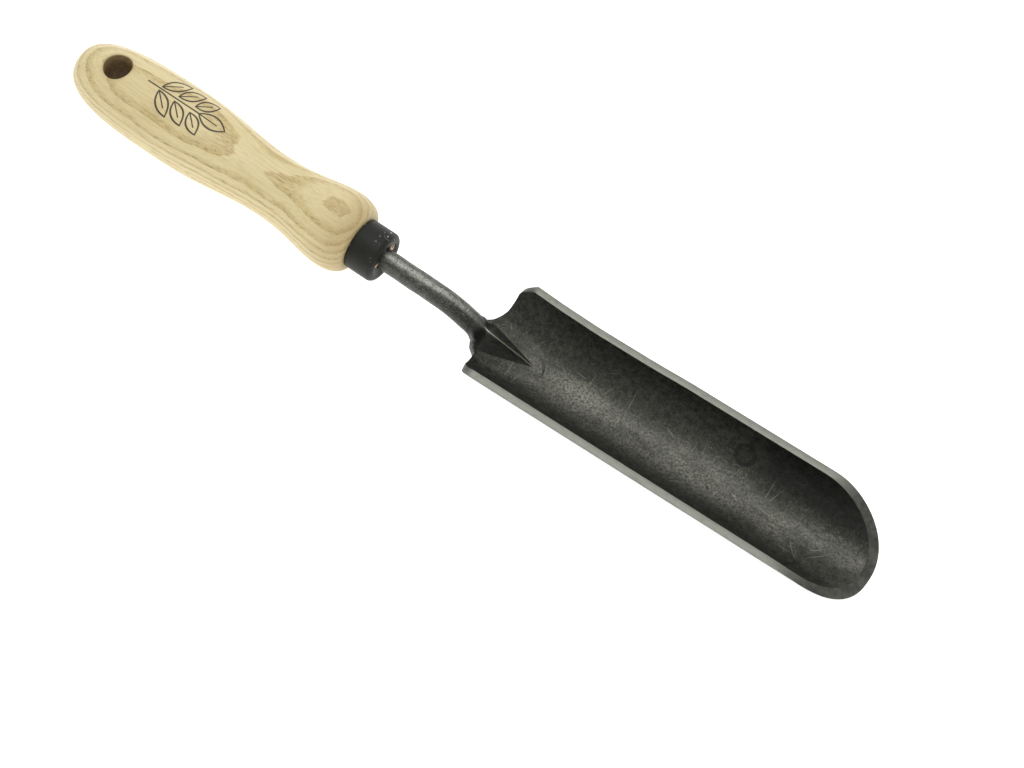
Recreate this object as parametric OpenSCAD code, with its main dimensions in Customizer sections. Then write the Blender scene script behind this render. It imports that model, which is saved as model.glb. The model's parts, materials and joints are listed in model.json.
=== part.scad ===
// Hand transplanter: a narrow trough-shaped blade on a round steel shank,
// with a turned wooden handle, a steel ferrule and a hole to hang it by.
// Millimetres. +X runs from the handle's tail to the blade's tip, +Z is up.
// The origin is under the middle of the tool, on the surface it lies on.

/* [Overall] */
// Length from the handle's tail to the blade's tip
overall_l = 355.6; // [330:1:380]

/* [Blade] */
// Length from the square shoulders at the back to the tip
blade_l = 164.9; // [150:0.1:180]
// Width across the outside of the two rims
blade_w = 43.7; // [38:0.1:50]
// Depth outside, from the flat rims to the belly
blade_depth = 17.3; // [14:0.1:20]
// Thickness of the plate
plate_t = 2.7; // [2:0.1:4]
// Length of the rounded tip, from the end of the straight rims
tip_l = 29.9; // [20:0.1:40]
// Width of the ground bevel at the very tip, along the blade
bevel_l = 3.7; // [3:0.1:6]
// Length along the blade of the rounded corners at the back of the rims
corner_l = 5; // [3:0.1:6]
// Width across the blade of those corners, seen from above
corner_w = 2; // [1:0.1:5]
// Length of the narrow neck behind the shoulders
neck_l = 4.8; // [3:0.1:6]
// Width of the flat along the belly that the blade lies on
belly_flat = 5; // [3:0.5:8]

/* [Shank] */
// Diameter of the round bar
shank_d = 8.6; // [7:0.1:10]
// Angle at which the bar leaves the ferrule, below the line of the rims
shank_slope = 4.8; // [4:0.1:6]
// Angle at which it dives to the blade, after its bend
dive_slope = 25.5; // [20:0.5:30]
// Radius of that bend, along the bar's axis
shank_bend_r = 33; // [25:1:40]
// Length of the pointed tongue, from the blade's back shoulders
tongue_l = 21.5; // [16:0.5:26]
// Half width of the tongue at its widest
tongue_half_w = 6.4; // [5:0.1:7]
// Diameter of the tang inside the handle
tang_d = 6.8; // [5:0.1:7.4]
// Length of the tang inside the handle
tang_l = 62; // [40:1:70]

/* [Handle] */
// Length of the wood that shows, from the tail to the ferrule
grip_l = 133.2; // [125:0.1:138]
// Angle of the handle above the line of the rims
handle_tilt = 3.35; // [2:0.05:5]
// Height of the rims above the handle's axis where the ferrule begins
axis_drop = 0.14; // [-1:0.02:1]
// Diameter at the belly
belly_d = 31.4; // [28:0.1:34]
// Diameter at the waist
waist_d = 24.5; // [22:0.1:27]
// Diameter at the swell near the ferrule
swell_d = 31.6; // [28:0.1:34]
// Diameter of the hole to hang the tool by
hole_d = 11.2; // [9:0.1:12]
// Distance of that hole's axis from the tail
hole_s = 19.6; // [15:0.1:22]

/* [Ferrule] */
// Outer diameter of the cap
ferrule_d = 20.4; // [19:0.1:21.5]
// Length of the cap
ferrule_l = 12; // [10:0.1:14]
// Thickness of the cap's wall
ferrule_t = 1.3; // [1:0.1:1.8]
// Radius of the cap's rounded front edge
ferrule_edge_r = 2.2; // [1.5:0.1:2.5]
// Radius of the two openings beside the shank
slot_r = 1.8; // [1.2:0.1:2]

/* [Hidden] */
$fn = 96;
gap = 0.05;
through = 80;

// Blade section: two arcs about one axis, cut off flat at the rims and at the belly
half_w = blade_w / 2;
half_flat = belly_flat / 2;
rim_z = blade_depth;
arc_z = (half_w * half_w + rim_z * rim_z - half_flat * half_flat) / (2 * rim_z);
outer_r = sqrt(arc_z * arc_z + half_flat * half_flat);
inner_r = outer_r - plate_t;
outer_half_angle = acos((arc_z - rim_z) / outer_r);
inner_half_angle = acos((arc_z - rim_z) / inner_r);
floor_z = arc_z - inner_r;

// Stations along the blade
tip_x = overall_l / 2;
shoulder_x = tip_x - blade_l;
neck_x = shoulder_x - neck_l;
straight_end_x = tip_x - tip_l;
neck_half_w = 4.3;
neck_flare_w = 5.4;
shoulder_rake = 4;
tip_power_y = 2.34;
tip_power_x = 2.42;

// Handle stations, measured from the tail along the axis
tail_x = -overall_l / 2;
belly_s = 46;
waist_s = 92.5;
swell_s = 123.7;
front_d = 21.4;
flow = 1.22;
spigot_l = ferrule_l - 1.6;
spigot_d = ferrule_d - 2 * ferrule_t;

ferrule_x = tail_x + grip_l * cos(handle_tilt);
ferrule_z = rim_z - axis_drop;
tail_z = ferrule_z + grip_l * sin(handle_tilt);

// The bar leaves the handle's axis inside the ferrule, where the tang ends.
// It runs straight to its bend, and dives from there into the tongue.
root_s = grip_l + spigot_l + 0.3;
bar_gap = 0.2;
root_x = tail_x + root_s * cos(handle_tilt);
root_z = tail_z - root_s * sin(handle_tilt);
bend_x = -9;
bar_l = (bend_x - root_x) / cos(shank_slope);
bend_z = root_z - bar_l * sin(shank_slope);
bend_centre_x = bend_x - shank_bend_r * sin(shank_slope);
bend_centre_z = bend_z - shank_bend_r * cos(shank_slope);
dive_x = bend_centre_x + shank_bend_r * sin(dive_slope);
dive_z = bend_centre_z + shank_bend_r * cos(dive_slope);
dive_l = 7.4;
overlap = 1;

// Position on the blade's outline: the back edge and the tip, for a given y
function ramp(t) = let (u = max(0, min(1, t))) u * u * (3 - 2 * u);
function corner(y) = let (d = max(0, abs(y) - (half_w - corner_w)) / corner_w)
    corner_l * (1 - sqrt(max(0, 1 - d * d)));
function back_x(y) = neck_x
    + neck_l * ramp((abs(y) - neck_half_w) / neck_flare_w)
    + shoulder_rake * max(0, abs(y) - neck_half_w - neck_flare_w) / half_w
    + corner(y);
function tip_bow(f) = pow(max(0, 1 - pow(min(1, abs(f)), tip_power_y)), 1 / tip_power_x);
function front_x(f) = straight_end_x + tip_l * tip_bow(f);
function bevel(f) = plate_t + (bevel_l - plate_t) * tip_bow(f);

// A column runs straight along the blade at one angle round its section.
// The columns crowd together towards the rims, where the outline turns.
// Their number is odd, so that the middle one makes the flat along the belly.
columns = 95;
flat_share = asin(half_flat / outer_r) / outer_half_angle;
function share(i) = sin(90 * (2 * i / columns - 1));
mid_share = sin(90 / columns);
function outer_share(i) = let (u = (abs(share(i)) - mid_share) / (1 - mid_share))
    sign(share(i)) * (flat_share + (1 - flat_share) * u);
function arc_y(r, a) = r * sin(a);
function arc_height(r, a) = arc_z - r * cos(a);
function outer_back(i) = let (a = outer_share(i) * outer_half_angle, y = arc_y(outer_r, a))
    [back_x(y), y, arc_height(outer_r, a)];
function outer_front(i) = let (a = outer_share(i) * outer_half_angle, y = arc_y(outer_r, a))
    [front_x(y / half_w), y, arc_height(outer_r, a)];
inner_half_w = inner_r * sin(inner_half_angle);
function inner_back(i) = let (a = share(i) * inner_half_angle, y = arc_y(inner_r, a))
    [back_x(y * half_w / inner_half_w), y, arc_height(inner_r, a)];
function inner_front(i) = let (a = share(i) * inner_half_angle, y = arc_y(inner_r, a))
    [front_x(y / inner_half_w) - bevel(y / inner_half_w), y, arc_height(inner_r, a)];

// Handle radius at a distance s from the tail
function ease(t) = (1 - cos(180 * pow(t, flow))) / 2;
function tail_r(s) = belly_d / 2 * pow(1 - pow(1 - s / belly_s, 3), 1 / 3);
function back_r(s) = let (t = (s - belly_s) / (waist_s - belly_s))
    belly_d / 2 + (waist_d - belly_d) / 2 * ease(t);
function swell_r(s) = let (t = (s - waist_s) / (swell_s - waist_s))
    waist_d / 2 + (swell_d - waist_d) / 2 * ease(t);
function shoulder_r(s) = let (t = (s - swell_s) / (grip_l - swell_s))
    front_d / 2 + (swell_d - front_d) / 2 * sqrt(max(0, 1 - t * t));
function grip_r(s) = s < belly_s ? tail_r(s)
    : s < waist_s ? back_r(s)
    : s < swell_s ? swell_r(s)
    : shoulder_r(s);

// Moves a child from the handle's own axis, with its tail at 0, into place
module on_handle_axis() {
    translate([tail_x, 0, tail_z])
        rotate([0, handle_tilt, 0])
            children();
}

// A round bar along +X from x0 to x1
module bar(x0, x1, d0, d1) {
    translate([x0, 0, 0])
        rotate([0, 90, 0])
            cylinder(h = x1 - x0, d1 = d0, d2 = d1);
}

// The turned wood: tail, belly, waist and swell as one outline
module grip_solid() {
    tail_steps = 14;
    body_steps = 34;
    front_steps = 10;
    rotate([0, 90, 0])
        rotate_extrude()
            polygon(concat(
                [[0, 0]],
                [for (k = [1 : tail_steps]) let (s = belly_s * pow(k / tail_steps, 3)) [grip_r(s), s]],
                [for (k = [1 : body_steps])
                    let (s = belly_s + (swell_s - belly_s) * k / body_steps) [grip_r(s), s]],
                [for (k = [1 : front_steps])
                    let (s = swell_s + (grip_l - swell_s) * sin(90 * k / front_steps)) [grip_r(s), s]],
                [[0, grip_l]]
            ));
}

module handle() {
    color("burlywood")
        on_handle_axis()
            difference() {
                union() {
                    grip_solid();
                    bar(grip_l - 1, grip_l + spigot_l, spigot_d - 2 * gap, spigot_d - 2 * gap);
                }
                bar(grip_l + spigot_l - tang_l - 4, grip_l + ferrule_l, tang_d, tang_d);
                translate([hole_s, 0, 0])
                    cylinder(h = through, d = hole_d, center = true);
            }
}

// The cap's outline: wall, rounded front edge and a face dished to the shank
module ferrule_outline() {
    edge_steps = 8;
    dish = 0.9;
    polygon(concat(
        [[spigot_d / 2, 0], [ferrule_d / 2, 0]],
        [for (k = [0 : edge_steps]) let (a = 90 * k / edge_steps)
            [ferrule_d / 2 - ferrule_edge_r * (1 - cos(a)), ferrule_l - ferrule_edge_r * (1 - sin(a))]],
        [[shank_d / 2 + bar_gap, ferrule_l - dish],
         [shank_d / 2 + bar_gap, spigot_l + gap],
         [spigot_d / 2, spigot_l + gap]]
    ));
}

module ferrule() {
    slot_angle = 52;
    slot_offset = shank_d / 2 + 1.1;
    color("dimgray")
        on_handle_axis()
            difference() {
                translate([grip_l, 0, 0])
                    rotate([0, 90, 0])
                        rotate_extrude()
                            ferrule_outline();
                for (side = [-1, 1])
                    rotate([side * slot_angle, 0, 0])
                        translate([grip_l + spigot_l - 1, 0, slot_offset])
                            rotate([0, 90, 0])
                                cylinder(h = ferrule_l, r = slot_r);
            }
}

// The forged end, a loft from a socket round the bar to a ridged, pointed tongue.
// A section has a half width, a top and an arch: 1 is a round top, 0 a ridge.
// Its underside follows the inside of the blade.
foot_r = inner_r - gap;
collar = 0.3;
collar_r = shank_d / 2 + collar;
collar_h = collar_r / cos(dive_slope);
socket_x = neck_x + 0.3;
wide_x = neck_x + 3.2;
ridge_x = neck_x + 5.2;
point_x = shoulder_x + tongue_l;
taper_power = 1.15;
socket_top = dive_z - (socket_x - dive_x) * tan(dive_slope) + collar_h;
ridge_top = socket_top - (ridge_x - socket_x) * tan(dive_slope);
arch_start = 1 - collar_h / (socket_top - floor_z);
function part_way(x, a, b) = max(0, min(1, (x - a) / (b - a)));
function tongue_half(x) = x < wide_x
    ? collar_r + (tongue_half_w - collar_r) * ramp(part_way(x, socket_x, wide_x))
    : tongue_half_w * (1 - pow(part_way(x, wide_x, point_x), taper_power));
function tongue_top(x) = socket_top
    + (ridge_top - socket_top) * part_way(x, socket_x, ridge_x)
    + (floor_z + gap - ridge_top) * part_way(x, ridge_x, point_x);
function tongue_arch(x) = 1 - ramp(part_way(x, socket_x, ridge_x));
function round_side(h) = sqrt(1 - pow(max(0, h - arch_start) / (1 - arch_start), 2));
function tongue_side(h, arch) = arch * round_side(h) + (1 - arch) * (1 - h);
function tongue_foot(x, f) = let (y = f * tongue_half(x)) [x, y, arc_z - sqrt(foot_r * foot_r - y * y)];
function tongue_point(x, h, side) = let (foot = tongue_foot(x, side)) [x,
    foot[1] * tongue_side(h, tongue_arch(x)),
    foot[2] + h * (tongue_top(x) - foot[2])];
tongue_heights = concat([0, arch_start / 2],
    [for (k = [0 : 4]) arch_start + (1 - arch_start) * sin(15 * k)]);
tongue_stations = concat(
    [for (k = [0 : 4]) socket_x + (wide_x - socket_x) * k / 4],
    [for (k = [1 : 3]) wide_x + (ridge_x - wide_x) * k / 3],
    [for (k = [1 : 5]) ridge_x + (point_x - ridge_x) * k / 6]);
function tongue_section(x) = concat(
    [for (h = tongue_heights) tongue_point(x, h, 1)],
    [tongue_point(x, 1, 0)],
    [for (k = [len(tongue_heights) - 1 : -1 : 0]) tongue_point(x, tongue_heights[k], -1)],
    [for (f = [-0.5, 0, 0.5]) tongue_foot(x, f)]);

module tongue() {
    around = 2 * len(tongue_heights) + 4;
    rings = len(tongue_stations);
    top = len(tongue_heights);
    apex = rings * around;
    points = [for (x = tongue_stations) each tongue_section(x), tongue_foot(point_x, 0)];
    skin = [for (r = [0 : rings - 2], k = [0 : around - 1])
        let (a = r * around + k, b = r * around + (k + 1) % around, c = b + around, d = a + around)
            each [[a, c, b], [a, d, c]]];
    back = [[for (k = [0 : around - 1]) (k + top) % around]];
    point = [for (k = [0 : around - 1])
        [apex - around + (k + 1) % around, apex - around + k, apex]];
    polyhedron(points = points, faces = concat(skin, back, point), convexity = 4);
}

module shank() {
    point_l = 6;
    tang_start = grip_l + spigot_l - tang_l;
    color("gray")
        union() {
            on_handle_axis() {
                bar(tang_start, tang_start + point_l, 2, tang_d - 2 * gap);
                bar(tang_start + point_l, root_s + 1, tang_d - 2 * gap, tang_d - 2 * gap);
            }
            translate([root_x, 0, root_z])
                rotate([0, shank_slope, 0])
                    bar(0, bar_l + overlap, shank_d - 2 * gap, shank_d - 2 * gap);
            translate([bend_centre_x, 0, bend_centre_z])
                rotate([90, 0, 0])
                    rotate([0, 0, 90 - dive_slope])
                        rotate_extrude(angle = dive_slope - shank_slope)
                            translate([shank_bend_r, 0])
                                circle(d = shank_d);
            translate([dive_x, 0, dive_z])
                rotate([0, dive_slope, 0])
                    bar(-overlap, dive_l, shank_d - 2 * gap, shank_d - 2 * gap);
            tongue();
        }
}

// Each column adds four points: outer back, outer front, inner front, inner back
module blade() {
    points = [for (i = [0 : columns])
        each [outer_back(i), outer_front(i), inner_front(i), inner_back(i)]];
    sides = [for (i = [0 : columns - 1], k = [0 : 3])
        let (a = 4 * i + k, b = 4 * i + (k + 1) % 4, c = 4 * (i + 1) + (k + 1) % 4, d = 4 * (i + 1) + k)
            each [[a, b, c], [a, c, d]]];
    last = 4 * columns;
    rims = [[3, 2, 1, 0], [last, last + 1, last + 2, last + 3]];
    color("darkslategray")
        polyhedron(points = points, faces = concat(sides, rims), convexity = 6);
}

handle();
ferrule();
shank();
blade();
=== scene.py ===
import json
import math

import bmesh
import bpy
from mathutils import Matrix, Vector, noise


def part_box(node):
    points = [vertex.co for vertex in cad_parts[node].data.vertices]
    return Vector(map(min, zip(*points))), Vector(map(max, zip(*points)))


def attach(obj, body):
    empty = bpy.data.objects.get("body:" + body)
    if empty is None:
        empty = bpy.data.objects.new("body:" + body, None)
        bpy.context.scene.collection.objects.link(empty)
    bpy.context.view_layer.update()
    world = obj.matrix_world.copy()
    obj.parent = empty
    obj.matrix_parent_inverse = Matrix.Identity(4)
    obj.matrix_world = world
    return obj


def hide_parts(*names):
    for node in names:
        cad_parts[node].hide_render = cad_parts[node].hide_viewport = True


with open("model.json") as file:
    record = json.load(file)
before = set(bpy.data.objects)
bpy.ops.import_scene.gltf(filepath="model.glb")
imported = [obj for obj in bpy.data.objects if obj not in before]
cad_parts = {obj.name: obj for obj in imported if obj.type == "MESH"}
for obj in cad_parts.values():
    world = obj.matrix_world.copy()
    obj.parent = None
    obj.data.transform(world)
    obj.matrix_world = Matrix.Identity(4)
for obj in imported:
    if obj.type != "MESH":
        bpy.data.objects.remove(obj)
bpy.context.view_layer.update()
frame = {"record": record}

# Sizes in metres. The places come from the frame; the forms follow the CAD part's own formulas.
MM = 0.001
blade_low, blade_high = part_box("blade")
handle_low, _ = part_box("handle")

# What the faceting and the rounding take off the very tip and tail
END_LOSS = 0.08 * MM

HALF_W = blade_high.y
RIM_Z = blade_high.z
TIP_X = blade_high.x + END_LOSS
NECK_X = blade_low.x
PLATE = 2.7 * MM
HALF_FLAT = 2.5 * MM
NECK_L = 4.8 * MM
SHOULDER_X = NECK_X + NECK_L
TIP_L = 29.9 * MM
BEVEL = 3.7 * MM
CORNER_L, FAR_CORNER_W, NEAR_CORNER_W = 5.2 * MM, 2.3 * MM, 4.5 * MM
NECK_HALF_W = 4.3 * MM
NECK_FLARE = 5.4 * MM
SHOULDER_RAKE = 4 * MM
STRAIGHT_END_X = TIP_X - TIP_L
ARC_Z = (HALF_W ** 2 + RIM_Z ** 2 - HALF_FLAT ** 2) / (2 * RIM_Z)
OUTER_R = math.hypot(ARC_Z, HALF_FLAT)
INNER_R = OUTER_R - PLATE
OUTER_HALF_ANGLE = math.acos((ARC_Z - RIM_Z) / OUTER_R)
INNER_HALF_ANGLE = math.acos((ARC_Z - RIM_Z) / INNER_R)
INNER_HALF_W = INNER_R * math.sin(INNER_HALF_ANGLE)

TILT = math.radians(3.35)
GRIP_L = 133.2 * MM
FERRULE_L = 12 * MM
FERRULE_R = 10.2 * MM
FERRULE_WALL = 1.3 * MM
SPIGOT_L = FERRULE_L - 1.6 * MM
SPIGOT_R = FERRULE_R - FERRULE_WALL
HOLE_R = frame["record"]["mounts"][0]["dims"]["r_mm"] * MM
HOLE_S = 19.6 * MM
TAIL_X = handle_low.x + END_LOSS
FRONT_DROP = 0.14 * MM
TAIL_Z = RIM_Z - FRONT_DROP + GRIP_L * math.sin(TILT)
TANG_R = 3.4 * MM
TANG_L = 62 * MM

BAR_R = 4.3 * MM
BAR_SLOPE, DIVE_SLOPE = math.radians(4.8), math.radians(25.5)
BEND_R = 33 * MM
ROOT_S = GRIP_L + SPIGOT_L + 0.3 * MM
ROOT_X = TAIL_X + ROOT_S * math.cos(TILT)
ROOT_Z = TAIL_Z - ROOT_S * math.sin(TILT)
BEND_X = -9 * MM
BEND_Z = ROOT_Z - (BEND_X - ROOT_X) * math.tan(BAR_SLOPE)
DIVE_X = BEND_X + BEND_R * (math.sin(DIVE_SLOPE) - math.sin(BAR_SLOPE))
DIVE_Z = BEND_Z - BEND_R * (math.cos(BAR_SLOPE) - math.cos(DIVE_SLOPE))
TONGUE_L = 21.5 * MM
TONGUE_HALF_W = 6.4 * MM
SOCKET_X = NECK_X + 0.1 * MM
WIDE_X = NECK_X + 3.2 * MM
RIDGE_X = NECK_X + 5.2 * MM
POINT_X = SHOULDER_X + TONGUE_L
PAD_H = 0.65 * MM

# The two openings in the ferrule's face, each given across and up from the handle's axis
SLOT_R = 1.9 * MM
SLOT_PLACES = ((-4.9 * MM, 2.6 * MM), (4.9 * MM, 1.0 * MM))
BOSS_TOP = GRIP_L + FERRULE_L - 0.75 * MM

HANDLE_FRAME = Matrix.Translation((TAIL_X, 0, TAIL_Z)) @ Matrix.Rotation(TILT, 4, "Y")


# ---- small helpers -------------------------------------------------------------------------

def ramp(t):
    """A smooth step as t goes from 0 to 1."""
    t = min(1.0, max(0.0, t))
    return t * t * (3 - 2 * t)


def part_way(x, a, b):
    """How far x has come on the way from a to b, from 0 to 1."""
    return min(1.0, max(0.0, (x - a) / (b - a)))


def mix(a, b, t):
    return a + (b - a) * t


def wobble(point, scale, seed):
    """A smooth random value from about -1 to 1; scale is the size of its lumps in metres."""
    return noise.noise(Vector(point) / scale + Vector((seed, 3.7 * seed, 0.0)))


def make_object(name, verts, faces, smooth_angle=35, slots=None):
    mesh = bpy.data.meshes.new(name)
    mesh.from_pydata([tuple(v) for v in verts], [], [tuple(f) for f in faces])
    if slots:
        mesh.polygons.foreach_set("material_index", slots)
    obj = bpy.data.objects.new(name, mesh)
    bpy.context.scene.collection.objects.link(obj)
    finish_mesh(obj, smooth_angle)
    return obj


def finish_mesh(obj, smooth_angle):
    """Makes the normals point out, and shades everything smooth but the real edges."""
    bm = bmesh.new()
    bm.from_mesh(obj.data)
    bmesh.ops.remove_doubles(bm, verts=bm.verts, dist=1e-7)
    bmesh.ops.recalc_face_normals(bm, faces=bm.faces)
    bm.to_mesh(obj.data)
    bm.free()
    obj.data.polygons.foreach_set("use_smooth", [True] * len(obj.data.polygons))
    obj.data.set_sharp_from_angle(angle=math.radians(smooth_angle))


def loft_faces(rings, around):
    return [(r * around + k, r * around + (k + 1) % around,
             (r + 1) * around + (k + 1) % around, (r + 1) * around + k)
            for r in range(rings - 1) for k in range(around)]


def lathe(name, profile, around, radius_at=None, closed=False, smooth_angle=35):
    """Turns (s, r) points about the handle's axis. radius_at reshapes the round section."""
    verts = []
    for s, r in profile:
        for k in range(around):
            a = 2 * math.pi * k / around
            grown = radius_at(s, r, a) if radius_at else r
            verts.append(HANDLE_FRAME @ Vector((s, grown * math.sin(a), grown * math.cos(a))))
    faces = loft_faces(len(profile), around)
    if closed:
        last = (len(profile) - 1) * around
        faces += [(last + k, last + (k + 1) % around, (k + 1) % around, k) for k in range(around)]
    return make_object(name, verts, faces, smooth_angle)


def combine(obj, other, operation, smooth_angle=35):
    """Cuts one mesh with another, or joins it on, and keeps the result as plain mesh data."""
    modifier = obj.modifiers.new("combine", "BOOLEAN")
    modifier.operation = operation
    modifier.solver = "EXACT"
    modifier.object = other
    bpy.context.view_layer.update()
    depsgraph = bpy.context.evaluated_depsgraph_get()
    result = bpy.data.meshes.new_from_object(obj.evaluated_get(depsgraph))
    obj.modifiers.clear()
    obj.data = result
    bpy.data.objects.remove(other)
    finish_mesh(obj, smooth_angle)


# ---- handle --------------------------------------------------------------------------------

BELLY_S, WAIST_S, SWELL_S = 46 * MM, 92.5 * MM, 123.7 * MM
BELLY_R, WAIST_R, SWELL_R, FRONT_R = 15.7 * MM, 12.25 * MM, 15.8 * MM, 10.7 * MM
FLOW = 1.22


def grip_radius(s):
    """The wood's outline: tail, belly, waist, swell and front shoulder."""
    if s < BELLY_S:
        return BELLY_R * (1 - (1 - s / BELLY_S) ** 3) ** (1 / 3)
    if s < SWELL_S:
        a, b, ra, rb = ((BELLY_S, WAIST_S, BELLY_R, WAIST_R) if s < WAIST_S
                        else (WAIST_S, SWELL_S, WAIST_R, SWELL_R))
        t = (s - a) / (b - a)
        return mix(ra, rb, (1 - math.cos(math.pi * t ** FLOW)) / 2)
    t = part_way(s, SWELL_S, GRIP_L)
    return mix(FRONT_R, SWELL_R, math.sqrt(max(0.0, 1 - t * t)))


def squarish(s, r, a):
    """The grip is a little squarer than a turned round between its tail and its swell."""
    amount = 0.016 * ramp(part_way(s, 24 * MM, 52 * MM)) * (1 - ramp(part_way(s, 96 * MM, 124 * MM)))
    return r * (1 - amount * math.cos(4 * a))


def grip_profile():
    tail, body, front = 60, 150, 26
    along = [BELLY_S * (k / tail) ** 3 for k in range(1, tail + 1)]
    along += [mix(BELLY_S, SWELL_S, k / body) for k in range(1, body + 1)]
    along += [mix(SWELL_S, GRIP_L, math.sin(math.pi / 2 * k / front)) for k in range(1, front + 1)]
    points = [(s, grip_radius(s)) for s in along]
    bore_end = GRIP_L + SPIGOT_L - TANG_L - 4 * MM
    return ([(0.0, 0.02 * MM)] + points + [
        (GRIP_L + 0.02 * MM, SPIGOT_R), (GRIP_L + SPIGOT_L, SPIGOT_R - 0.1 * MM),
        (GRIP_L + SPIGOT_L + 0.01 * MM, TANG_R), (bore_end, TANG_R), (bore_end, 0.02 * MM)])


def hole_cutter():
    """The hanging hole: straight in the middle, with its edge eased evenly all round."""
    around, ease_steps, ease_r = 96, 8, 0.7 * MM
    straight, above = 4 * MM, 6 * MM
    rows = []
    for side in (-1, 1):
        ease = [(ease_r * (1 - math.cos(math.pi / 2 * k / ease_steps)),
                 -ease_r + ease_r * math.sin(math.pi / 2 * k / ease_steps))
                for k in range(ease_steps + 1)]
        steps = [(0.0, -straight)] + ease + [(ease_r, above)]
        rows.append([(side, grow, rise) for grow, rise in steps])
    order = list(reversed(rows[0])) + rows[1]
    verts = []
    for side, grow, rise in order:
        for k in range(around):
            a = 2 * math.pi * k / around
            edge_s = HOLE_S + HOLE_R * math.cos(a)
            surface = math.sqrt(max(0.0, grip_radius(edge_s) ** 2 - (HOLE_R * math.sin(a)) ** 2))
            r = HOLE_R + grow
            verts.append(HANDLE_FRAME @ Vector((HOLE_S + r * math.cos(a), r * math.sin(a),
                                                side * (surface + rise))))
    last = (len(order) - 1) * around
    faces = loft_faces(len(order), around)
    faces += [tuple(range(around)), tuple(last + k for k in range(around))]
    return make_object("hole_cutter", verts, faces)


def build_handle():
    obj = lathe("handle_wood", grip_profile(), 192, squarish)
    bm = bmesh.new()
    bm.from_mesh(obj.data)
    bmesh.ops.holes_fill(bm, edges=[e for e in bm.edges if e.is_boundary])
    bm.to_mesh(obj.data)
    bm.free()
    combine(obj, hole_cutter(), "DIFFERENCE")
    for place in SLOT_PLACES:
        boss = slot_post("wood_boss", place, SLOT_R - 0.2 * MM, GRIP_L + SPIGOT_L - 0.5 * MM, BOSS_TOP)
        combine(obj, boss, "UNION")
    return obj


# ---- ferrule -------------------------------------------------------------------------------

def ferrule_profile():
    """A closed outline: wall, rounded front edge, dished face, hole, and the inside."""
    edge_r, back_r, dish, steps = 2.2 * MM, 0.35 * MM, 1.1 * MM, 12
    hole_r = BAR_R + 0.2 * MM
    points = [(0.0, SPIGOT_R + 0.05 * MM), (0.0, FERRULE_R - back_r)]
    points += [(back_r * (1 - math.cos(math.pi / 2 * k / 4)),
                FERRULE_R - back_r * (1 - math.sin(math.pi / 2 * k / 4))) for k in range(1, 5)]
    points += [(FERRULE_L - edge_r * (1 - math.sin(math.pi / 2 * k / steps)),
                FERRULE_R - edge_r * (1 - math.cos(math.pi / 2 * k / steps))) for k in range(steps + 1)]
    face_r = FERRULE_R - edge_r
    points += [(FERRULE_L - dish * ramp(k / 8), mix(face_r, hole_r + 0.2 * MM, k / 8))
               for k in range(1, 9)]
    points += [(FERRULE_L - dish - 0.2 * MM, hole_r), (SPIGOT_L + 0.05 * MM, hole_r),
               (SPIGOT_L + 0.05 * MM, SPIGOT_R + 0.05 * MM)]
    return [(GRIP_L + s, r) for s, r in points]


def slot_post(name, place, r, start, end):
    """A round post along the handle at one of the two openings in the ferrule's face."""
    around = 40
    verts = [HANDLE_FRAME @ Vector((s, place[0] + r * math.cos(2 * math.pi * k / around),
                                    place[1] + r * math.sin(2 * math.pi * k / around)))
             for s in (start, end) for k in range(around)]
    faces = loft_faces(2, around) + [tuple(range(around)), tuple(range(around, 2 * around))]
    return make_object(name, verts, faces)


def build_ferrule():
    """Two small openings beside the shank show the wood behind the cap's face."""
    obj = lathe("ferrule_cap", ferrule_profile(), 160, closed=True)
    for place in SLOT_PLACES:
        post = slot_post("slot_cutter", place, SLOT_R,
                         GRIP_L + SPIGOT_L - 1 * MM, GRIP_L + FERRULE_L + 2 * MM)
        combine(obj, post, "DIFFERENCE")
    return obj


# ---- shank ---------------------------------------------------------------------------------

def bar_axis(x):
    """Height and slope of the bar's axis: straight, bent, then straight down to the blade."""
    if x < BEND_X:
        return BEND_Z - (x - BEND_X) * math.tan(BAR_SLOPE), BAR_SLOPE
    if x < DIVE_X:
        angle = math.asin(math.sin(BAR_SLOPE) + (x - BEND_X) / BEND_R)
        return BEND_Z - BEND_R * (math.cos(BAR_SLOPE) - math.cos(angle)), angle
    return DIVE_Z - (x - DIVE_X) * math.tan(DIVE_SLOPE), DIVE_SLOPE


def pad_height(x, y):
    """The thicker, leaf-shaped root of the blade round the tongue, as a height above the floor."""
    end_x, half = NECK_X + 30 * MM, 10.5 * MM
    u = (x - NECK_X - 9 * MM) / (end_x - NECK_X - 9 * MM)
    reach = half * math.sqrt(max(0.0, 1 - max(0.0, u) ** 2.2))
    inside = ramp(part_way(reach - abs(y), -0.4 * MM, 2.4 * MM)) if u < 1 else 0.0
    return PAD_H * inside * (0.45 + 0.55 * ramp(part_way(half - abs(y), 0, 8 * MM)))


def floor_at(x, y):
    """Height of the inside of the trough."""
    return ARC_Z - math.sqrt(INNER_R ** 2 - y * y) + pad_height(x, y)


def tongue_half_width(x):
    if x < WIDE_X:
        return mix(BAR_R, TONGUE_HALF_W, ramp(part_way(x, SOCKET_X, WIDE_X)))
    return TONGUE_HALF_W * (1 - part_way(x, WIDE_X, POINT_X) ** 1.15) + 0.04 * MM


def tongue_top(x):
    if x < RIDGE_X:
        height, slope = bar_axis(x)
        return height + BAR_R / math.cos(slope)
    ridge = tongue_top(RIDGE_X - 0.001 * MM)
    return mix(ridge, floor_at(POINT_X, 0.0) + 0.04 * MM, part_way(x, RIDGE_X, POINT_X))


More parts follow.
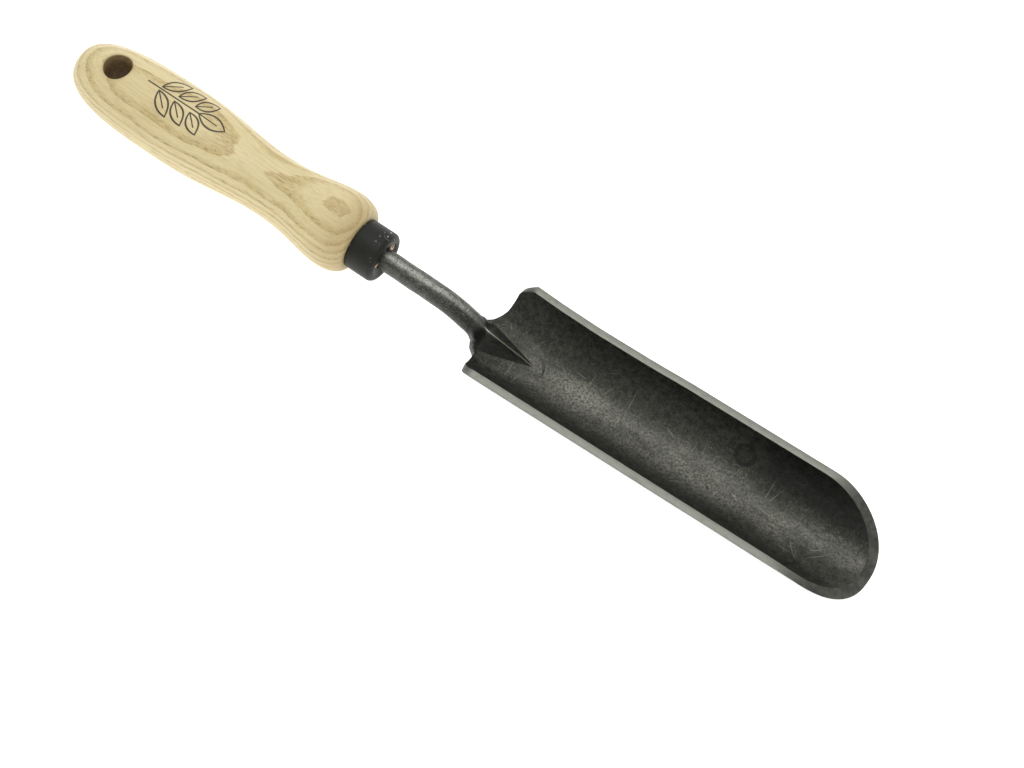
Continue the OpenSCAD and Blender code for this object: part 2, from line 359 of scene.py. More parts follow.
def tongue_outline(x, t):
    """A point on the right half of the tongue's section: t runs from under its middle to its top."""
    w, top = tongue_half_width(x), tongue_top(x)
    foot_share, sunk = 0.3, 0.05 * MM
    if t < foot_share:
        y = w * t / foot_share
        return y, floor_at(x, y) - sunk
    h = (t - foot_share) / (1 - foot_share)
    foot = floor_at(x, w) - sunk
    arch = 1 - ramp(part_way(x, SOCKET_X, RIDGE_X))
    arch_start = max(0.05, 1 - BAR_R / math.cos(DIVE_SLOPE) / max(top - foot, 1 * MM))
    round_side = math.sqrt(max(0.0, 1 - (max(0.0, h - arch_start) / (1 - arch_start)) ** 2))
    hollow = 1 - h - 0.16 * math.sin(math.pi * h)
    return w * (arch * round_side + (1 - arch) * hollow), mix(foot, top, h)


def shank_section(x, around):
    points = []
    height, slope = bar_axis(x)
    into_tongue = ramp(part_way(x, NECK_X - 1.6 * MM, NECK_X + 0.9 * MM))
    shift = 0.5 * MM * ramp(part_way(x, NECK_X, POINT_X))
    for k in range(around):
        a = 2 * math.pi * k / around - math.pi / 2
        side = 1 if math.cos(a) >= 0 else -1
        y, z = BAR_R * math.cos(a), height + BAR_R / math.cos(slope) * math.sin(a)
        if into_tongue > 0:
            t = 2 * k / around if k <= around / 2 else 2 - 2 * k / around
            ty, tz = tongue_outline(x, t)
            y, z = mix(y, side * ty, into_tongue), mix(z, tz, into_tongue)
        points.append(Vector((x, y + shift, z)))
    return points


def forged(point, strength):
    """Moves a point of the shank by the small unevenness of hammered steel."""
    lump = wobble(point, 6 * MM, 11.0) * 0.09 * MM + wobble(point, 1.6 * MM, 23.0) * 0.035 * MM
    rough = ramp(part_way(point.x, NECK_X - 4 * MM, NECK_X + 1 * MM))
    rough *= 1 - ramp(part_way(point.x, NECK_X + 5 * MM, NECK_X + 9 * MM))
    lump += wobble(point, 2.6 * MM, 31.0) * 0.30 * MM * rough
    away = Vector((0, point.y, point.z - bar_axis(point.x)[0]))
    return point + away.normalized() * lump * strength


def build_shank():
    around = 112
    stations = [mix(ROOT_X, NECK_X - 5 * MM, k / 90) for k in range(91)]
    stations += [mix(NECK_X - 5 * MM, RIDGE_X, k / 60) for k in range(1, 61)]
    stations += [mix(RIDGE_X, POINT_X, k / 60) for k in range(1, 61)]
    verts = []
    for x in stations:
        strength = ramp(part_way(POINT_X - x, 0, 8 * MM))
        for p in shank_section(x, around):
            keep = ramp(part_way(p.z - floor_at(x, min(INNER_HALF_W, abs(p.y))), 0.1 * MM, 1.2 * MM))
            verts.append(forged(p, strength * (keep if x > NECK_X - 1 * MM else 1.0)))
    faces = loft_faces(len(stations), around)
    last = (len(stations) - 1) * around
    faces += [tuple(range(around)), tuple(last + k for k in range(around))]
    return make_object("shank_bar", verts, faces, 38)


def build_tang():
    start = GRIP_L + SPIGOT_L - TANG_L
    r = TANG_R - 0.05 * MM
    profile = [(start, 0.02 * MM), (start, 1 * MM), (start + 6 * MM, r), (ROOT_S + 1 * MM, r),
               (ROOT_S + 1 * MM, 0.02 * MM)]
    return lathe("shank_tang", profile, 48)


# ---- blade ---------------------------------------------------------------------------------

def back_x(y):
    width = FAR_CORNER_W if y > 0 else NEAR_CORNER_W
    corner = CORNER_L * (max(0.0, abs(y) - (HALF_W - width)) / width) ** 2
    flare = NECK_L * ramp((abs(y) - NECK_HALF_W) / NECK_FLARE)
    rake = SHOULDER_RAKE * max(0.0, abs(y) - NECK_HALF_W - NECK_FLARE) / HALF_W
    uneven = 3.2 * MM * ramp(part_way(y, 0, 4.5 * MM)) * (1 - ramp(part_way(y, 5.5 * MM, 15 * MM)))
    return NECK_X + flare + rake + corner - uneven


def far_wave(x):
    """How far the far wall stands out at the back, and in further on, as forging left it."""
    out = 1.2 * MM * (1 - ramp(part_way(x, SHOULDER_X, SHOULDER_X + 26 * MM)))
    pinch = 0.4 * MM * ramp(part_way(x, SHOULDER_X + 22 * MM, SHOULDER_X + 38 * MM))
    return out - pinch * (1 - ramp(part_way(x, SHOULDER_X + 56 * MM, SHOULDER_X + 78 * MM)))


def tip_bow(share):
    return max(0.0, 1 - min(1.0, abs(share)) ** 2.34) ** (1 / 2.42)


def blade_point(share, along, inner):
    """share runs from -1 to 1 round the section, along from 0 at the back to 1 at the tip."""
    r, half_angle = (INNER_R, INNER_HALF_ANGLE) if inner else (OUTER_R, OUTER_HALF_ANGLE)
    a = share * half_angle
    y, z = r * math.sin(a), ARC_Z - r * math.cos(a)
    f = y / (INNER_HALF_W if inner else HALF_W)
    front = STRAIGHT_END_X + TIP_L * tip_bow(f)
    if inner:
        front -= PLATE + (BEVEL - PLATE) * tip_bow(f)
    return Vector((mix(back_x(f * HALF_W), front, along), y, z)), a


def build_blade():
    """Both faces of the plate, the rims and the ends. The ends and rims take the second material."""
    columns, rows = 140, 230
    verts = []
    for inner in (False, True):
        for i in range(columns + 1):
            u = 2 * i / columns - 1
            share = (2 * math.sin(math.pi / 2 * u) + u) / 3
            for j in range(rows + 1):
                verts.append(blade_skin_point(share, j / rows, inner))
    step = rows + 1
    layer = (columns + 1) * step
    skin, ends = [], []
    for i in range(columns):
        for j in range(rows):
            a, b = i * step + j, (i + 1) * step + j
            skin.append((a, a + 1, b + 1, b))
            skin.append((layer + a, layer + b, layer + b + 1, layer + a + 1))
        a, b = i * step, (i + 1) * step
        ends.append((a, b, layer + b, layer + a))
        ends.append((a + rows, layer + a + rows, layer + b + rows, b + rows))
    for j in range(rows):
        a, b = j, columns * step + j
        ends.append((a, layer + a, layer + a + 1, a + 1))
        ends.append((b, b + 1, layer + b + 1, layer + b))
    obj = make_object("blade_trough", verts, skin + ends, 28, [0] * len(skin) + [1] * len(ends))
    round_edges(obj, 0.32 * MM)
    return obj


def blade_skin_point(share, along, inner):
    p, a = blade_point(share, along, inner)
    calm = 1 - ramp(part_way(abs(share), 0.8, 1.0))
    bend = wobble((p.x, p.y, 0), 26 * MM, 5.0) * 0.16 * MM * calm
    if inner:
        bend += wobble(p, 7 * MM, 8.0) * 0.04 * MM * calm
    bend *= ramp(part_way(p.x, NECK_X + 34 * MM, NECK_X + 46 * MM))
    wave = Vector((0, far_wave(p.x) * ramp(part_way(share, 0.2, 0.9)), 0))
    if not inner:
        p += Vector((0, -math.sin(a), math.cos(a))) * max(0.0, bend) + wave
        return Vector((p.x, p.y, max(0.0, p.z)))
    return p + Vector((0, -math.sin(a), math.cos(a))) * (bend + pad_height(p.x, p.y)) + wave


def round_edges(obj, width):
    """Rounds the plate's real edges, and gives the rounded strips the ground material."""
    bm = bmesh.new()
    bm.from_mesh(obj.data)
    edges = [e for e in bm.edges if e.calc_face_angle(0.0) > math.radians(28)]
    bmesh.ops.bevel(bm, geom=edges, offset=width, segments=2, profile=0.5, affect="EDGES",
                    clamp_overlap=True, material=1)
    bm.to_mesh(obj.data)
    bm.free()
    finish_mesh(obj, 40)


# ---- materials -----------------------------------------------------------------------------

class Shader:
    """Builds one node material; every method returns the socket that it makes."""

    def __init__(self, name):
        self.material = bpy.data.materials.new(name)
        self.material.use_nodes = True
        self.tree = self.material.node_tree
        self.principled = self.tree.nodes["Principled BSDF"]
        coords = self.tree.nodes.new("ShaderNodeTexCoord")
        self.position = coords.outputs["Object"]

    def plug(self, socket, value):
        if isinstance(value, bpy.types.NodeSocket):
            self.tree.links.new(value, socket)
        else:
            socket.default_value = value

    def math(self, operation, a, b=0.0, c=0.0, clamp=False):
        node = self.tree.nodes.new("ShaderNodeMath")
        node.operation = operation
        node.use_clamp = clamp
        for socket, value in zip(node.inputs, (a, b, c)):
            self.plug(socket, value)
        return node.outputs[0]

    def add(self, a, b):
        return self.math("ADD", a, b)

    def sub(self, a, b):
        return self.math("SUBTRACT", a, b)

    def times(self, a, b):
        return self.math("MULTIPLY", a, b)

    def distance(self, a, b):
        """Length of the flat vector (a, b)."""
        return self.math("SQRT", self.add(self.times(a, a), self.times(b, b)))

    def between(self, value, low, high, out_low=0.0, out_high=1.0):
        """Smooth step of value from low to high."""
        node = self.tree.nodes.new("ShaderNodeMapRange")
        node.interpolation_type = "SMOOTHSTEP"
        for name, item in (("Value", value), ("From Min", low), ("From Max", high),
                           ("To Min", out_low), ("To Max", out_high)):
            self.plug(node.inputs[name], item)
        return node.outputs[0]

    def place(self, vector, location=(0, 0, 0), rotation=(0, 0, 0), scale=(1, 1, 1)):
        node = self.tree.nodes.new("ShaderNodeMapping")
        for name, item in (("Vector", vector), ("Location", location),
                           ("Rotation", rotation), ("Scale", scale)):
            self.plug(node.inputs[name], item)
        return node.outputs[0]

    def split(self, vector):
        node = self.tree.nodes.new("ShaderNodeSeparateXYZ")
        self.plug(node.inputs[0], vector)
        return node.outputs[0], node.outputs[1], node.outputs[2]

    def join(self, x, y, z):
        node = self.tree.nodes.new("ShaderNodeCombineXYZ")
        for socket, value in zip(node.inputs, (x, y, z)):
            self.plug(socket, value)
        return node.outputs[0]

    def noise(self, vector, scale, detail=3.0, roughness=0.5, distortion=0.0):
        node = self.tree.nodes.new("ShaderNodeTexNoise")
        for name, item in (("Vector", vector), ("Scale", scale), ("Detail", detail),
                           ("Roughness", roughness), ("Distortion", distortion)):
            self.plug(node.inputs[name], item)
        return node.outputs["Fac"]

    def cells(self, vector, scale):
        """Random cells: the nearest cell's middle, in the vector's own units, and its random colour."""
        node = self.tree.nodes.new("ShaderNodeTexVoronoi")
        node.voronoi_dimensions = "2D"
        self.plug(node.inputs["Vector"], vector)
        self.plug(node.inputs["Scale"], scale)
        return node.outputs["Position"], node.outputs["Color"]

    def blend(self, amount, a, b):
        node = self.tree.nodes.new("ShaderNodeMix")
        node.data_type = "RGBA"
        colours = [s for s in node.inputs if s.type == "RGBA"]
        self.plug(node.inputs[0], amount)
        self.plug(colours[0], a)
        self.plug(colours[1], b)
        return [s for s in node.outputs if s.type == "RGBA"][0]

    def bump(self, height, distance, strength=1.0):
        node = self.tree.nodes.new("ShaderNodeBump")
        for name, item in (("Height", height), ("Distance", distance), ("Strength", strength)):
            self.plug(node.inputs[name], item)
        return node.outputs[0]

    def set(self, **inputs):
        for name, item in inputs.items():
            self.plug(self.principled.inputs[name.replace("_", " ")], item)
        return self.material


def colour(red, green, blue):
    """An 8-bit display colour as the linear colour that a shader takes."""
    def linear(c):
        c /= 255
        return c / 12.92 if c <= 0.04045 else ((c + 0.055) / 1.055) ** 2.4
    return (linear(red), linear(green), linear(blue), 1.0)


def handle_coordinates(sh):
    """Millimetres in the handle's own frame: along it from the tail, across it and up."""
    inverse = HANDLE_FRAME.inverted()
    return sh.place(sh.position, location=tuple(v / MM for v in inverse.translation),
                    rotation=(0, -TILT, 0), scale=(1 / MM,) * 3)


def scratch_lines(sh, x, w, cell, length, width, share, seed):
    """Straight strokes in every direction: at most one in each random cell of the given size."""
    flat = sh.join(sh.add(x, seed), sh.add(w, 2.0 * seed), 0.0)
    middle, random = sh.cells(flat, 1 / cell)
    mx, my, _ = sh.split(middle)
    fx, fy, _ = sh.split(flat)
    dx, dy = sh.sub(fx, mx), sh.sub(fy, my)
    turn, chance, _ = sh.split(random)
    angle = sh.times(turn, math.pi)
    c, n = sh.math("COSINE", angle), sh.math("SINE", angle)
    along = sh.math("ABSOLUTE", sh.add(sh.times(dx, c), sh.times(dy, n)))
    across = sh.math("ABSOLUTE", sh.sub(sh.times(dy, c), sh.times(dx, n)))
    stroke = sh.times(sh.between(along, length / 2, length / 5), sh.between(across, width, width / 3))
    return sh.times(stroke, sh.between(chance, share, share - 0.3))


def wood_material():
    sh = Shader("ash_wood")
    local = handle_coordinates(sh)
    s, y, z = sh.split(local)

    # Growth layers are wide arcs about a pith far below, and they wander along the handle
    pith_y, pith_z, layer_pitch = 3.0, -62.0, 2.7
    wander = sh.noise(sh.place(local, scale=(0.016, 0.03, 0.03)), 1.0, 2.0, 0.5)
    ripple = sh.noise(sh.place(local, location=(4, 0, 7), scale=(0.05, 0.16, 0.16)), 1.0, 2.0, 0.5)
    shiver = sh.noise(sh.place(local, location=(1, 5, 2), scale=(0.12, 1.1, 1.1)), 1.0, 3.0, 0.55)
    across = sh.math("POWER", sh.sub(y, pith_y), 2.0)
    upward = sh.math("POWER", sh.sub(z, pith_z), 2.0)
    depth = sh.math("SQRT", sh.add(across, upward))
    depth = sh.add(depth, sh.times(sh.sub(wander, 0.5), 7.0))
    depth = sh.add(depth, sh.times(sh.sub(ripple, 0.5), 1.6))
    depth = sh.add(depth, sh.times(sh.sub(shiver, 0.5), 0.45))
    layer = sh.math("FRACT", sh.times(depth, 1 / layer_pitch))
    early = sh.times(sh.between(layer, 0.0, 0.07), sh.between(layer, 0.66, 0.10))

    # Fine fibres and open pores run along the handle
    fibre = sh.noise(sh.place(local, scale=(0.06, 1.6, 1.6)), 1.0, 5.0, 0.65)
    streak = sh.noise(sh.place(local, scale=(0.02, 0.5, 0.5)), 1.0, 3.0, 0.5)
    pores = sh.between(sh.noise(sh.place(local, scale=(0.30, 2.6, 2.6)), 1.0, 3.0, 0.6), 0.52, 0.62)
    pores = sh.times(pores, sh.add(0.14, sh.times(early, 0.86)))
    cloud = sh.noise(sh.place(local, location=(9, 2, 4), scale=(0.025, 0.06, 0.06)), 1.0, 2.0)

    pale = sh.blend(cloud, colour(217, 203, 158), colour(200, 184, 137))
    ring = sh.blend(sh.between(streak, 0.35, 0.65), colour(178, 156, 102), colour(192, 172, 119))
    tone = sh.blend(sh.times(early, 0.72), pale, ring)
    tone = sh.blend(sh.between(fibre, 0.40, 0.68, 0.0, 0.34), tone, colour(172, 150, 100))
    tone = sh.blend(sh.times(pores, 0.62), tone, colour(134, 108, 62))
    front = sh.between(s, GRIP_L / MM - 16, GRIP_L / MM + 1)
    tone = sh.blend(sh.times(front, 0.42), tone, colour(148, 121, 74))

    # The hanging hole's wall is painted with shade: mottled dark brown, darker the deeper it goes; a
    # slightly darker ring lies round its eased edge
    from_hole = sh.distance(sh.sub(s, HOLE_S / MM), y)
    inside = sh.between(from_hole, HOLE_R / MM + 0.15, HOLE_R / MM + 0.02)
    burr = sh.between(sh.noise(sh.place(local, location=(3, 3, 3)), 0.6, 4.0), 0.3, 0.7)
    # Painted shade: the wall darkens from the mouth downwards
    inside = sh.times(inside, sh.between(z, 12.8, 7.0, 0.55, 0.92))
    tone = sh.blend(inside, tone, sh.blend(burr, colour(88, 64, 30), colour(138, 110, 66)))
    tone = sh.blend(sh.between(from_hole, HOLE_R / MM + 1.6, HOLE_R / MM + 0.4, 0.0, 0.25), tone,
                    colour(150, 124, 80))

    # The end of the wood inside the ferrule is dark round the tang
    deep = sh.between(s, GRIP_L / MM + 2, GRIP_L / MM + 4)
    tone = sh.blend(sh.times(deep, 0.35), tone, colour(120, 84, 44))

    # In each opening of the ferrule the top of the wooden boss is painted with a pale crescent of painted
    # light beside an offset disc of painted shade
    for place_y, place_z in SLOT_PLACES:
        from_boss = sh.distance(sh.sub(y, place_y / MM), sh.sub(z, place_z / MM))
        boss = sh.times(sh.between(s, BOSS_TOP / MM - 0.3, BOSS_TOP / MM - 0.1),
                        sh.between(from_boss, SLOT_R / MM - 0.1, SLOT_R / MM - 0.2))
        # Painted shade: a dark disc set off to one side, leaving a painted highlight crescent of pale
        # wood
        from_painted_shade = sh.distance(sh.sub(y, place_y / MM + 0.5), sh.sub(z, place_z / MM + 0.5))
        ring = sh.blend(sh.between(from_painted_shade, 0.95, 1.2), colour(30, 22, 14), colour(224, 192, 142))
        tone = sh.blend(boss, tone, ring)

    mark = sprig_mark(sh, s, y, z)
    tone = sh.blend(sh.times(mark, 0.95), tone, colour(38, 27, 17))

    rough = sh.add(0.46, sh.times(sh.sub(fibre, 0.5), 0.2))
    rough = sh.add(rough, sh.times(inside, 0.3))
    height = sh.sub(sh.times(fibre, 0.35), sh.add(pores, sh.times(mark, 2.2)))
    normal = sh.bump(height, 0.08 * MM, 0.6)
    return sh.set(Base_Color=tone, Roughness=rough, Normal=normal, Coat_Weight=0.10, Coat_Roughness=0.30,
                  Specular_IOR_Level=0.35)


def leaf_outline(sh, s, y, centre, angle, length, width, line):
    """The thin outline of one pointed leaf and its midrib, in millimetres; line is their width."""
    c, w = math.cos(angle), math.sin(angle)
    ds, dy = sh.sub(s, centre[0]), sh.sub(y, centre[1])
    u = sh.times(sh.add(sh.times(ds, c), sh.times(dy, w)), 2 / length)
    v = sh.times(sh.sub(sh.times(dy, c), sh.times(ds, w)), 2 / width)
    edge = sh.sub(sh.sub(1.0, sh.times(u, u)), sh.math("ABSOLUTE", v))
    outline = sh.between(sh.math("ABSOLUTE", edge), 2.4 * line / width, 1.2 * line / width)
    near = sh.between(sh.math("ABSOLUTE", u), 1.12, 1.04)
    rib = sh.times(sh.between(sh.math("ABSOLUTE", v), 1.6 * line / width, 0.8 * line / width),
                   sh.between(u, 0.45, 0.35))
    rib = sh.times(rib, sh.between(u, -1.05, -0.95))
    return sh.times(sh.math("MAXIMUM", outline, rib), near)


def sprig_mark(sh, s, y, z):
    """A plain burnt sprig of leaves on top of the belly, lying along the handle."""
    middle, line = 49.0, 0.42
    y = sh.sub(y, 1.4)
    mark = leaf_outline(sh, s, y, (middle + 14.5, 0.0), 0.0, 12.0, 5.8, line)
    for k in range(3):
        for side in (-1, 1):
            centre = (middle - 5.5 + 7.2 * k, side * 4.7)
            leaf = leaf_outline(sh, s, y, centre, side * math.radians(42), 11.0 - k, 4.8, line)
            mark = sh.math("MAXIMUM", mark, leaf)
    stem = sh.times(sh.between(s, middle - 15.9, middle - 15.5), sh.between(s, middle + 9, middle + 8.6))
    stem = sh.times(stem, sh.between(sh.math("ABSOLUTE", y), 0.38, 0.2))
    mark = sh.math("MAXIMUM", mark, stem)
    return sh.times(mark, sh.between(z, 4.0, 6.0))


def steel_skin(sh, vector, dark, mid, bright, speck):
    """Mottled forged scale: a dark oxide broken by greyer patches and small bright specks."""
    mottle = sh.noise(vector, 0.42, 8.0, 0.80)
    grain = sh.noise(vector, 1.6, 5.0, 0.8)
    specks = sh.between(sh.noise(vector, 1.5, 4.0, 0.8), 0.58, 0.68)
    tone = sh.blend(sh.between(mottle, 0.38, 0.64), dark, mid)
    tone = sh.blend(sh.times(sh.between(grain, 0.48, 0.62), 0.60), tone, mid)
    tone = sh.blend(sh.times(sh.between(grain, 0.46, 0.36), 0.55), tone, dark)
    tone = sh.blend(sh.times(specks, speck), tone, bright)
    return tone, mottle, grain


def blade_material():
    sh = Shader("dark_blade_steel")
    millimetres = sh.place(sh.position, scale=(1 / MM,) * 3)
    x, y, z = sh.split(millimetres)
    around = sh.times(sh.math("ARCTAN2", y, sh.sub(ARC_Z / MM, z)), INNER_R / MM)
    tone, mottle, grain = steel_skin(sh, millimetres, colour(33, 34, 31), colour(68, 68, 62),
                                     colour(104, 104, 94), 0.34)

    # The far half of the trough is blacker towards the tip
    black = sh.times(sh.between(y, 3.0, 12.0), sh.between(x, 112.0, 132.0))
    tone = sh.blend(sh.times(black, 0.62), tone, colour(25, 26, 24))

    # The bottom is rubbed greyer by soil, with a fine frost of marks
    patch = sh.noise(sh.place(millimetres, scale=(0.030, 0.08, 0.08)), 1.0, 4.0, 0.6)
    floor_band = sh.between(sh.math("ABSOLUTE", sh.add(y, 1.0)), 15.0, 0.5)
    worn = sh.times(floor_band, sh.between(patch, 0.26, 0.70))
    worn = sh.times(worn, sh.between(x, NECK_X / MM + 12, NECK_X / MM + 50, 0.30, 1.0))
    frosting = sh.between(sh.noise(millimetres, 1.1, 5.0, 0.85), 0.42, 0.59)
    tone = sh.blend(sh.times(worn, sh.add(0.08, sh.times(frosting, 0.82))), tone, colour(122, 122, 111))

    # A round dark stain on the far wall
    stain_x, stain_around = 117.5, 14.5
    stain = sh.distance(sh.sub(x, stain_x), sh.sub(around, stain_around))
    ring = sh.times(sh.between(stain, 4.8, 4.0), sh.between(stain, 1.5, 3.8, 0.35, 1.0))
    tone = sh.blend(sh.times(ring, 0.75), tone, colour(27, 28, 26))

    # Straight scratches: a close weave of short ones, and a few that are longer
    weave = sh.math("MAXIMUM", scratch_lines(sh, x, around, 1.6, 1.5, 0.15, 0.6, 3.0),
                    scratch_lines(sh, x, around, 3.6, 3.6, 0.14, 0.6, 17.0))
    long_marks = sh.math("MAXIMUM", scratch_lines(sh, x, around, 8.0, 6.0, 0.15, 0.45, 29.0),
                         scratch_lines(sh, x, around, 15.0, 10.0, 0.14, 0.4, 41.0))
    bottom = sh.between(sh.math("ABSOLUTE", y), 17.0, 6.0, 0.22, 1.0)
    weave = sh.times(sh.times(weave, bottom), sh.between(patch, 0.35, 0.6, 0.35, 1.0))
    tone = sh.blend(sh.times(weave, 0.36), tone, colour(146, 146, 134))
    tone = sh.blend(sh.times(sh.times(long_marks, bottom), 0.42), tone, colour(160, 160, 148))

    rough = sh.add(0.47, sh.times(sh.sub(mottle, 0.5), 0.25))
    height = sh.add(sh.times(grain, 0.5), sh.sub(sh.times(mottle, 0.5), sh.times(weave, 0.4)))
    return sh.set(Base_Color=tone, Metallic=0.75, Roughness=rough, Normal=sh.bump(height, 0.06 * MM, 0.8))


def ground_material():
    """The rims: flat ground steel, duller and browner round the tip and at the back; round the tip the
    darkening is painted shade on the forward-facing end.
    """
    sh = Shader("ground_rim_steel")
    millimetres = sh.place(sh.position, scale=(1 / MM,) * 3)
    x, _, _ = sh.split(millimetres)
    lines = sh.noise(sh.place(millimetres, scale=(0.25, 3.0, 3.0)), 1.0, 4.0, 0.6)
    patch = sh.noise(millimetres, 0.30, 5.0, 0.65)
    light = sh.blend(sh.between(lines, 0.3, 0.7), colour(116, 117, 109), colour(130, 130, 122))
    light = sh.blend(sh.between(patch, 0.55, 0.75, 0.0, 0.4), light, colour(94, 94, 87))
    dull_and_shaded = sh.blend(sh.between(patch, 0.35, 0.65), colour(60, 61, 56), colour(84, 84, 77))
    # Painted shade round the tip, where the rim's end faces forward
    painted_tip_shade = sh.between(x, STRAIGHT_END_X / MM + 1, STRAIGHT_END_X / MM + 15)
    at_back = sh.between(x, NECK_X / MM + 13.5, NECK_X / MM + 10.5)
    tone = sh.blend(sh.math("MAXIMUM", painted_tip_shade, at_back), light, dull_and_shaded)
    nicks = sh.times(sh.between(sh.noise(millimetres, 0.9, 4.0, 0.7), 0.60, 0.66),
                     sh.between(x, NECK_X / MM + 20, NECK_X / MM + 9, 0.08, 0.8))
    tone = sh.blend(nicks, tone, colour(48, 48, 43))
    rough = sh.add(0.42, sh.times(patch, 0.15))
    return sh.set(Base_Color=tone, Metallic=0.7, Roughness=rough, Normal=sh.bump(lines, 0.02 * MM, 0.5))


def shank_material():
    sh = Shader("forged_shank_steel")
    millimetres = sh.place(sh.position, scale=(1 / MM,) * 3)
    x, y, z = sh.split(millimetres)
    drawn = sh.place(millimetres, scale=(0.7, 1.3, 1.3))
    tone, mottle, grain = steel_skin(sh, drawn, colour(56, 56, 52), colour(112, 112, 106),
                                     colour(182, 182, 174), 0.75)
    # Painted light: a painted highlight along the top, painted shade down the flanks over their scale,
    # and a painted dark reflection on the near flank at the bend
    painted_flank_shade = sh.between(sh.math("ABSOLUTE", sh.sub(y, 0.3)), 1.2, 3.4)
    tone = sh.blend(sh.times(painted_flank_shade, 0.42), tone, colour(50, 51, 46))
    # Painted highlight along the top of the bar, broken by the grain
    top = sh.times(sh.between(sh.math("ABSOLUTE", sh.sub(y, 0.4)), 1.7, 0.2), sh.between(z, 9.0, 11.0))
    tone = sh.blend(sh.times(top, sh.between(grain, 0.40, 0.60, 0.05, 0.62)), tone, colour(176, 177, 170))
    # Painted dark reflection along the near flank before the bend
    near = sh.times(sh.between(y, 0.3, -1.2), sh.between(x, NECK_X / MM - 26, NECK_X / MM - 8))
    tone = sh.blend(sh.times(near, sh.between(grain, 0.60, 0.44, 0.25, 0.75)), tone, colour(26, 26, 24))
    deep = sh.between(x, NECK_X / MM - 6, NECK_X / MM + 3)
    tone = sh.blend(sh.times(deep, 0.66), tone, colour(40, 40, 37))
    # A pale line along the tongue's crest: partly worn bare steel and partly a painted highlight
    side = sh.math("ABSOLUTE", sh.sub(y, sh.between(x, NECK_X / MM, POINT_X / MM, 0.0, 0.5)))
    ridge = sh.times(sh.between(side, 0.36, 0.12), sh.between(x, NECK_X / MM + 3, RIDGE_X / MM))
    tone = sh.blend(ridge, tone, colour(186, 186, 172))
    rough = sh.add(0.42, sh.times(sh.sub(grain, 0.5), 0.3))
    height = sh.add(sh.times(mottle, 0.5), sh.times(grain, 0.6))
    return sh.set(Base_Color=tone, Metallic=0.7, Roughness=rough, Normal=sh.bump(height, 0.10 * MM, 0.8))


def ferrule_material():
    sh = Shader("black_ferrule_paint")
    local = handle_coordinates(sh)
    s, y, z = sh.split(local)
    cloud = sh.noise(local, 0.35, 4.0, 0.6)
    grain = sh.noise(local, 2.2, 3.0, 0.6)
    radius = sh.distance(y, z)
    front = GRIP_L / MM + FERRULE_L / MM
    edge = sh.times(sh.between(s, front - 5.0, front - 3.4),
                    sh.between(radius, FERRULE_R / MM - 2.0, FERRULE_R / MM - 0.8))
    back = sh.between(s, GRIP_L / MM + 0.7, GRIP_L / MM + 0.1)
    edge = sh.times(edge, sh.between(y, -3.0, 1.5, 0.12, 1.0))
    where = sh.math("MAXIMUM", edge, sh.times(back, 0.6))
    chips = sh.between(sh.noise(sh.place(local, location=(2, 6, 1)), 0.62, 4.0, 0.6), 0.62, 0.65)
    chips = sh.times(chips, where)
    tone = sh.blend(cloud, colour(20, 21, 17), colour(31, 32, 26))
    tone = sh.blend(chips, tone, colour(190, 190, 178))
    rough = sh.add(0.42, sh.times(cloud, 0.16))
    height = sh.sub(sh.times(grain, 0.35), sh.times(chips, 1.2))
    return sh.set(Base_Color=tone, Metallic=sh.times(chips, 0.8), Roughness=rough,
                  Specular_IOR_Level=0.22, Normal=sh.bump(height, 0.05 * MM, 0.5))


def floor_material():
    sh = Shader("pale_floor")
    cloud = sh.noise(sh.position, 4.0, 2.0)
    return sh.set(Base_Color=sh.blend(cloud, colour(250, 250, 249), colour(252, 252, 251)), Roughness=0.9,
                  Emission_Color=(1, 1, 1, 1), Emission_Strength=0.70)


# ---- assembly ------------------------------------------------------------------------------

def add_piece(piece, node, slot, *materials):
    for material in materials:
        piece.data.materials.append(material)
    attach(piece, "root")
    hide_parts(node)


def build_tool():
    add_piece(build_handle(), "handle", "handle_wood", wood_material())
    add_piece(build_ferrule(), "ferrule", "ferrule_black", ferrule_material())
    steel = shank_material()
    add_piece(build_shank(), "shank", "shank_steel", steel)
    add_piece(build_tang(), "shank", "shank_steel", steel)
    add_piece(build_blade(), "blade", "blade_steel", blade_material(), ground_material())


# ---- studio --------------------------------------------------------------------------------

VIEW_AZIMUTH, VIEW_ELEVATION = math.radians(35.2), math.radians(63)
VIEW_DISTANCE = 0.80
VIEW_RIGHT, VIEW_UP = 0.0199, -0.0296
PIXELS_PER_METRE = 2730
IMAGE_W = 1024
FLOOR_GAP = 0.4 * MM


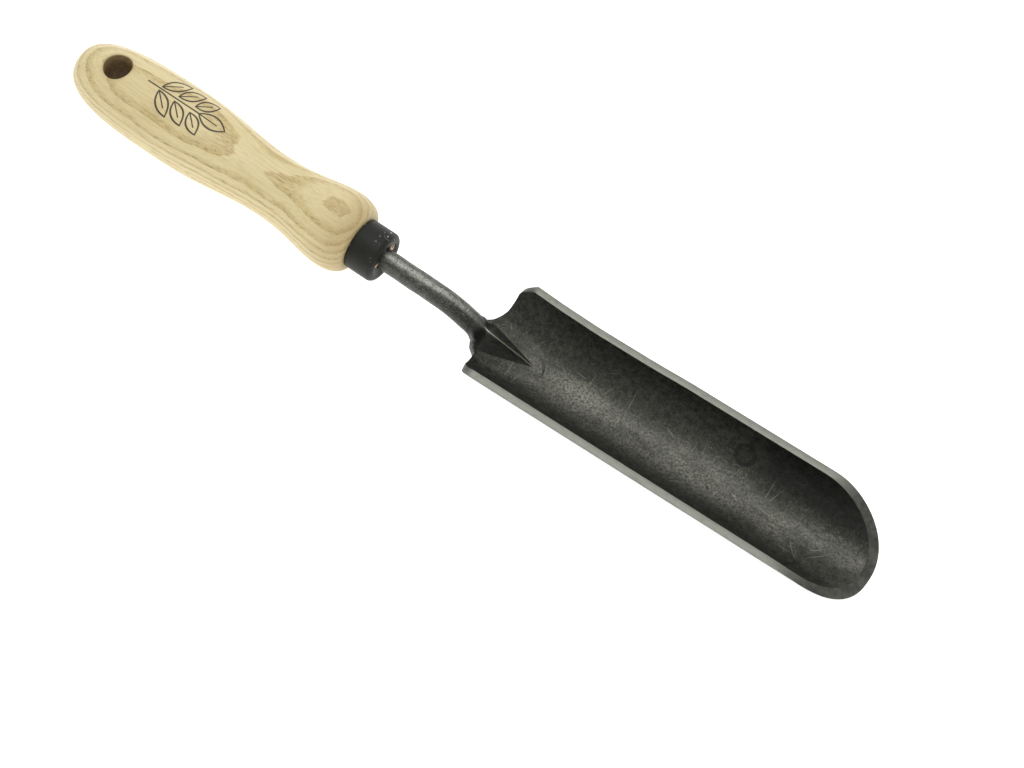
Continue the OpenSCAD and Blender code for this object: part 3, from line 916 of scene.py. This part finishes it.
def view_axes(azimuth, elevation):
    back = Vector((math.sin(azimuth) * math.cos(elevation), -math.cos(azimuth) * math.cos(elevation),
                   math.sin(elevation)))
    right = Vector((math.cos(azimuth), math.sin(azimuth), 0))
    return right, back.cross(right), back


def add_camera():
    right, up, back = view_axes(VIEW_AZIMUTH, VIEW_ELEVATION)
    aim = Vector(((TIP_X + TAIL_X) / 2, 0, RIM_Z)) + right * VIEW_RIGHT + up * VIEW_UP
    data = bpy.data.cameras.new("camera")
    data.sensor_width = 36
    data.lens = PIXELS_PER_METRE * VIEW_DISTANCE / IMAGE_W * data.sensor_width
    camera = bpy.data.objects.new("camera", data)
    bpy.context.scene.collection.objects.link(camera)
    camera.matrix_world = Matrix((
        (right.x, up.x, back.x, 0), (right.y, up.y, back.y, 0), (right.z, up.z, back.z, 0), (0, 0, 0, 1)))
    camera.location = aim + back * VIEW_DISTANCE
    bpy.context.scene.camera = camera


def add_light(name, azimuth, elevation, distance, size, power):
    """A square soft light that shines at the tool's middle."""
    back = view_axes(math.radians(azimuth), math.radians(elevation))[2]
    data = bpy.data.lights.new(name, "AREA")
    data.size = size
    data.energy = power
    light = bpy.data.objects.new(name, data)
    bpy.context.scene.collection.objects.link(light)
    light.location = back * distance
    light.rotation_euler = back.to_track_quat("Z", "Y").to_euler()


def add_studio():
    mesh = bpy.data.meshes.new("floor")
    reach = 4.0
    mesh.from_pydata([(-reach, -reach, 0), (reach, -reach, 0), (reach, reach, 0), (-reach, reach, 0)],
                     [], [(0, 1, 2, 3)])
    floor = bpy.data.objects.new("floor", mesh)
    floor.location.z = -FLOOR_GAP
    bpy.context.scene.collection.objects.link(floor)
    mesh.materials.append(floor_material())
    world = bpy.data.worlds.new("studio")
    world.use_nodes = True
    world.node_tree.nodes["Background"].inputs["Color"].default_value = (1, 1, 1, 1)
    world.node_tree.nodes["Background"].inputs["Strength"].default_value = 0.80
    bpy.context.scene.world = world
    add_light("overhead", 215, 80, 1.1, 0.55, 3.6)
    add_light("far_side", 205, 40, 1.2, 0.8, 1.6)
    bpy.context.scene.view_settings.view_transform = "Standard"


add_camera()
build_tool()
add_studio()
